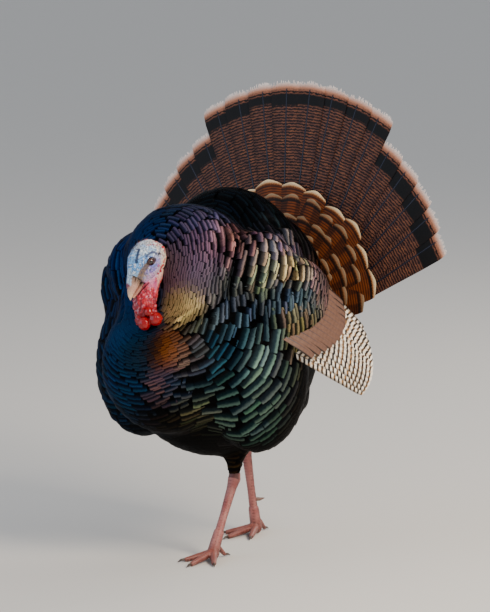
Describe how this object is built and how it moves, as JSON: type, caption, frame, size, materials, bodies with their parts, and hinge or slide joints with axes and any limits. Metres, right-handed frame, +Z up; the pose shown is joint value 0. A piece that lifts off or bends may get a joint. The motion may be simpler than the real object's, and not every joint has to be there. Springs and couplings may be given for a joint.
{
  "type": "wild turkey model",
  "caption": "Life-size wild turkey gobbler in full strut: tail fanned, wings drooped, head drawn back, walking on two scaled legs.",
  "frame": {"origin": "on the floor under the middle of the bird's box, between its two feet", "axes": "+Z up; the bird faces -Y with its fanned tail at +Y; its left side is +X"},
  "size_m": [0.8114, 0.6042, 0.9846],
  "materials": {
    "feather_bronze": "satin, bronze and green sheen",
    "feather_teal": "satin, teal sheen",
    "feather_copper": "satin, copper and purple sheen",
    "feather_black": "satin black",
    "feather_rufous": "matte rufous with black bars",
    "tail_barred": "matte chestnut with fine black bars and a pale tip",
    "quill_brown": "matte pinkish brown",
    "quill_barred": "matte white with dark bars",
    "head_skin": "satin bare skin, pale blue",
    "red_skin": "wet-looking bare red skin",
    "bill_horn": "satin pale horn",
    "eye": "wet gloss",
    "leg_scale": "satin pink scales",
    "claw_horn": "satin dark horn"
  },
  "bodies": {
    "root": {"back": "feather_black", "belly": "feather_black", "bill_lower": "bill_horn", "bill_upper": "bill_horn", "breast": "feather_teal", "cape": "feather_copper", "claw_left_hind": "claw_horn", "claw_left_inner": "claw_horn", "claw_left_middle": "claw_horn", "claw_left_outer": "claw_horn", "claw_right_hind": "claw_horn", "claw_right_inner": "claw_horn", "claw_right_middle": "claw_horn", "claw_right_outer": "claw_horn", "eye_left": "eye", "eye_right": "eye", "flank_left": "feather_bronze", "flank_right": "feather_teal", "foot_left": "leg_scale", "foot_right": "leg_scale", "head": "head_skin", "neck": "red_skin", "primaries_left": "quill_barred", "primaries_right": "quill_barred", "rump": "feather_rufous", "secondaries_left": "quill_brown", "secondaries_right": "quill_brown", "shank_left": "leg_scale", "shank_right": "leg_scale", "shoulder_left": "feather_copper", "shoulder_right": "feather_teal", "snood": "head_skin", "spur_left": "claw_horn", "spur_right": "claw_horn", "tail_coverts": "feather_rufous", "tail_fan": "tail_barred", "thigh_left": "feather_bronze", "thigh_right": "feather_bronze", "undertail_coverts": "feather_rufous", "vent": "feather_black", "wattles": "red_skin", "wing_coverts_left": "feather_bronze", "wing_coverts_right": "feather_bronze"}
  },
  "joints": []
}
